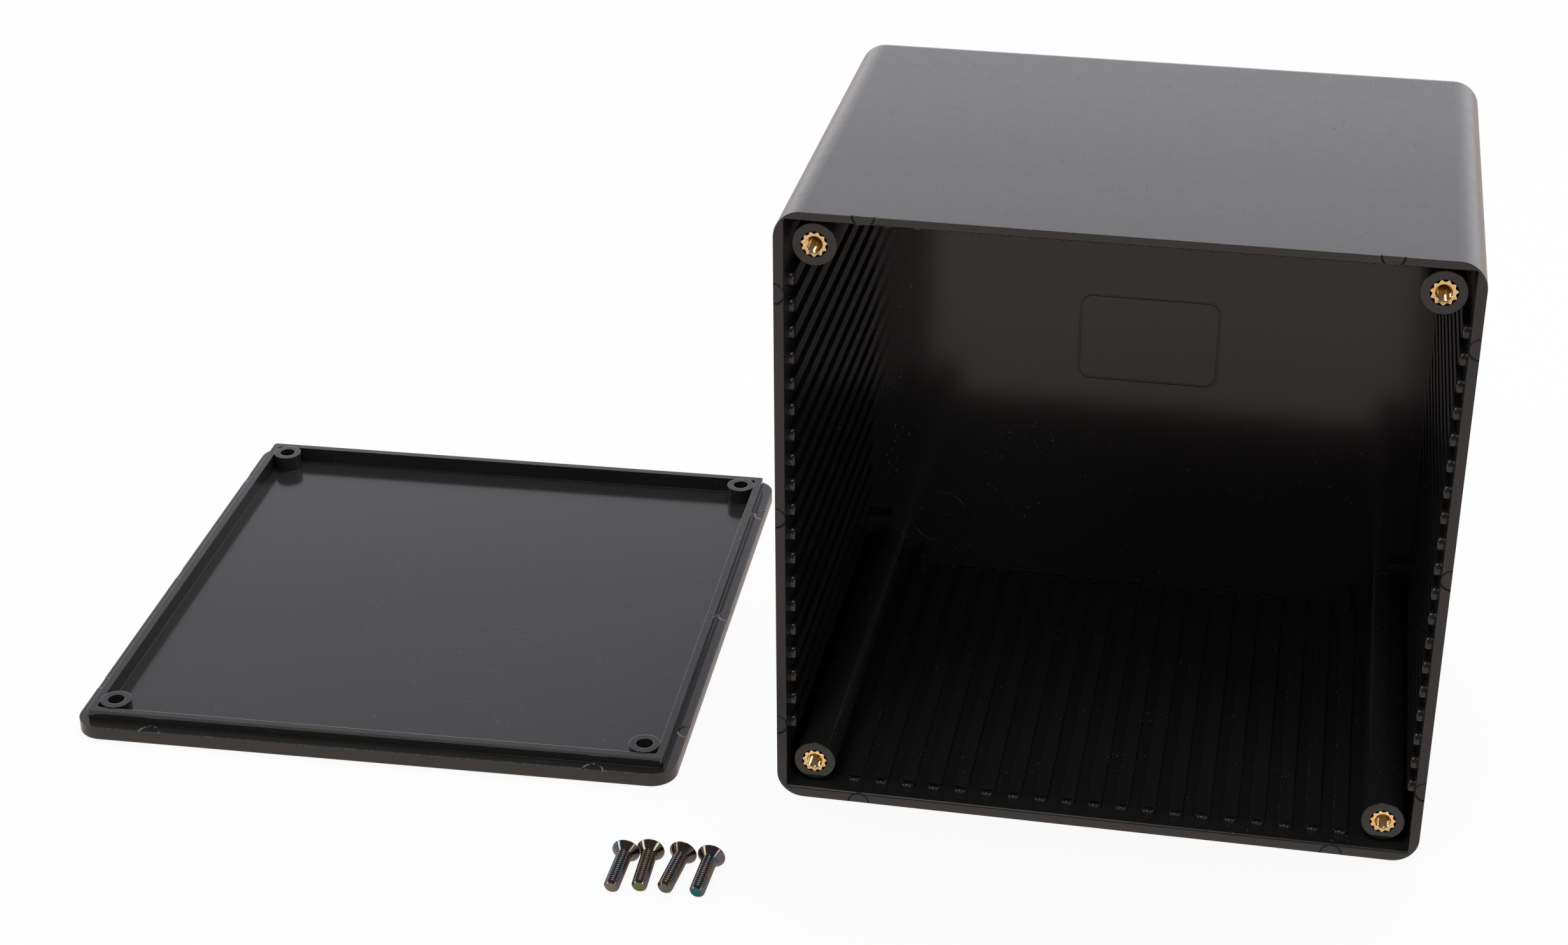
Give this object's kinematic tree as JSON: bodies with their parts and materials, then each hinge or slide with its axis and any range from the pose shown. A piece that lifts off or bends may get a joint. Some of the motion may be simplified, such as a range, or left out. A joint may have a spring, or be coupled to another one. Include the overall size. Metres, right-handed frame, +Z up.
{
  "type": "plastic project box",
  "caption": "Square deep plastic enclosure with card-guide ribs, corner screw columns, a lipped lid and countersunk screws, shown opened.",
  "frame": {"origin": "middle of the case's side wall that the part rests on, at the resting plane", "axes": "+X to the right as one looks into the open case, +Y from the mouth towards the closed end, +Z up through the side walls"},
  "size_m": [0.2644, 0.154, 0.12],
  "materials": {
    "moulded_case": "black ABS, moulded satin gloss",
    "moulded_lid": "black ABS, moulded gloss",
    "brass_insert": "turned and knurled brass",
    "screw_steel": "black nickel plated steel with a faint rainbow tint"
  },
  "bodies": {
    "root": {"case": "moulded_case", "lid": "moulded_lid", "thread_insert_1": "brass_insert", "thread_insert_2": "brass_insert", "thread_insert_3": "brass_insert", "thread_insert_4": "brass_insert", "lid_screw_1": "screw_steel", "lid_screw_2": "screw_steel", "lid_screw_3": "screw_steel", "lid_screw_4": "screw_steel"}
  },
  "joints": []
}
